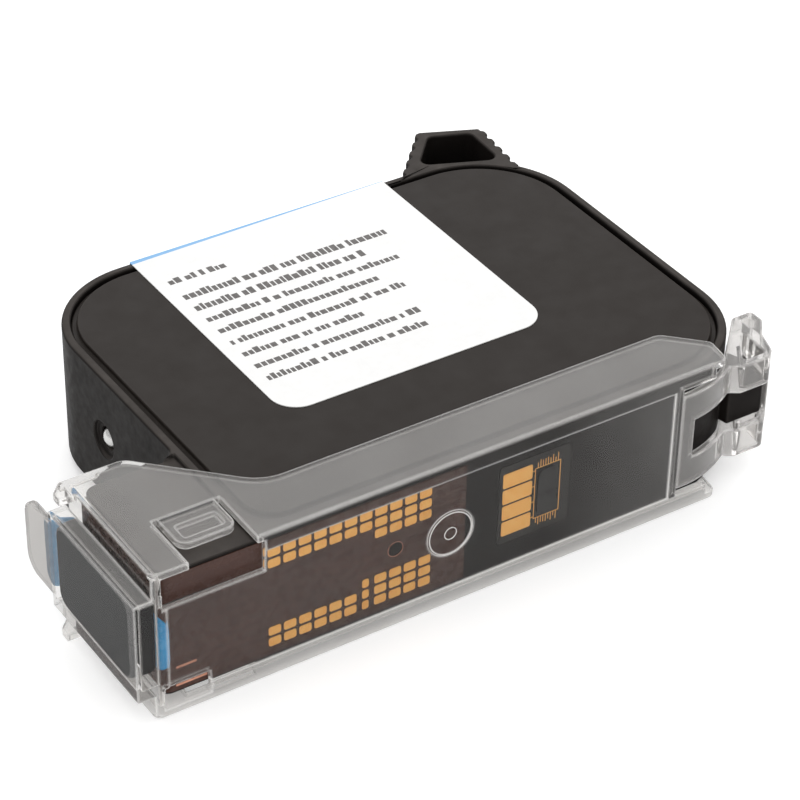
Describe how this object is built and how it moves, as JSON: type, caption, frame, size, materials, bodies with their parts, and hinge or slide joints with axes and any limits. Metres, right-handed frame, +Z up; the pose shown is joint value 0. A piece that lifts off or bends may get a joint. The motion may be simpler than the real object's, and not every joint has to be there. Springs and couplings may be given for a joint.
{
  "type": "thermal inkjet print cartridge with protective cap",
  "caption": "Flat black thermal inkjet cartridge with a snout printhead, gold contact field, grip and label, closed by a clear snap-fit cap with a flexing latch and nozzle seal.",
  "frame": {"origin": "middle of the outline, on the face that the part lies on", "axes": "+X along the contact side from the nozzle end to the latch end, +Y from the contact face to the grip side, +Z up through the thickness"},
  "size_m": [0.0914, 0.0644, 0.0203],
  "materials": {
    "frame_black": "fine spark texture, moulded black",
    "cover_grey": "satin, very fine texture",
    "label_paper": "coated label paper",
    "liner_plastic": "natural moulded plastic",
    "bag_film": "thin laminate",
    "steel": "bright",
    "spring_steel": "rolled strip",
    "steel_mesh": "fine weave",
    "resin_black": "cured resin",
    "silicon": "polished",
    "gold_contact": "gold plated, satin",
    "polyimide": "amber film over copper",
    "copper": "bare",
    "board_black": "solder mask",
    "tape_blue": "translucent film",
    "clear_plastic": "clear, moulded, glossy",
    "seal_rubber": "soft, smooth"
  },
  "bodies": {
    "cartridge": {"body_frame": "frame_black", "cover_upper": "cover_grey", "cover_lower": "cover_grey", "label": "label_paper", "inner_liner": "liner_plastic", "bag_film_upper": "bag_film", "bag_film_lower": "bag_film", "bow_spring_upper": "spring_steel", "bow_spring_lower": "spring_steel", "filter_carrier": "liner_plastic", "filter_screen": "steel_mesh", "die_adhesive": "resin_black", "printhead_die": "silicon", "nozzle_plate": "gold_contact", "flex_circuit": "polyimide", "encapsulant_beads": "resin_black", "contact_pads": "gold_contact", "copper_strips": "copper", "chip_board": "board_black", "chip_contacts": "gold_contact", "chip_resin": "resin_black", "ball_plug": "steel", "nozzle_tape": "tape_blue"},
    "plate_upper": {"pressure_plate_upper": "steel"},
    "plate_lower": {"pressure_plate_lower": "steel"},
    "cap": {"cap_shell": "clear_plastic", "cap_seal": "seal_rubber"},
    "tongue_upper": {"snap_tongue_upper": "clear_plastic"},
    "tongue_lower": {"snap_tongue_lower": "clear_plastic"},
    "latch": {"cap_latch": "clear_plastic"}
  },
  "joints": [
    {"name": "cap_pull", "type": "slide", "parent": "cartridge", "child": "cap", "axis": [0, -1, 0], "range_m": [0, 0.04]},
    {"name": "latch_flex", "type": "hinge", "parent": "cap", "child": "latch", "pos_m": [0.0275, -0.03215, 0.01013], "axis": [0, 0, -1], "range_deg": [0, 12], "stiffness_Nm_per_rad": 0.05, "springref_deg": -1.72},
    {"name": "tongue_upper_flex", "type": "hinge", "parent": "cap", "child": "tongue_upper", "pos_m": [-0.0346, -0.0238, 0.02025], "axis": [-1, 0, 0], "range_deg": [0, 8], "stiffness_Nm_per_rad": 0.02, "springref_deg": -1.72},
    {"name": "tongue_lower_flex", "type": "hinge", "parent": "cap", "child": "tongue_lower", "pos_m": [-0.0346, -0.0238, 0], "axis": [1, 0, 0], "range_deg": [0, 8], "stiffness_Nm_per_rad": 0.02, "springref_deg": -1.72},
    {"name": "plate_upper_draw", "type": "slide", "parent": "cartridge", "child": "plate_upper", "axis": [0, 0, -1], "range_m": [0, 0.0055], "stiffness_N_per_m": 60, "springref_m": -0.004, "deforming": ["bow_spring_upper"]},
    {"name": "plate_lower_draw", "type": "slide", "parent": "cartridge", "child": "plate_lower", "axis": [0, 0, 1], "range_m": [0, 0.0055], "stiffness_N_per_m": 60, "springref_m": -0.004, "deforming": ["bow_spring_lower"]}
  ],
  "couplings": [
    {"joint": "plate_lower_draw", "follows": "plate_upper_draw", "ratio": 1}
  ]
}
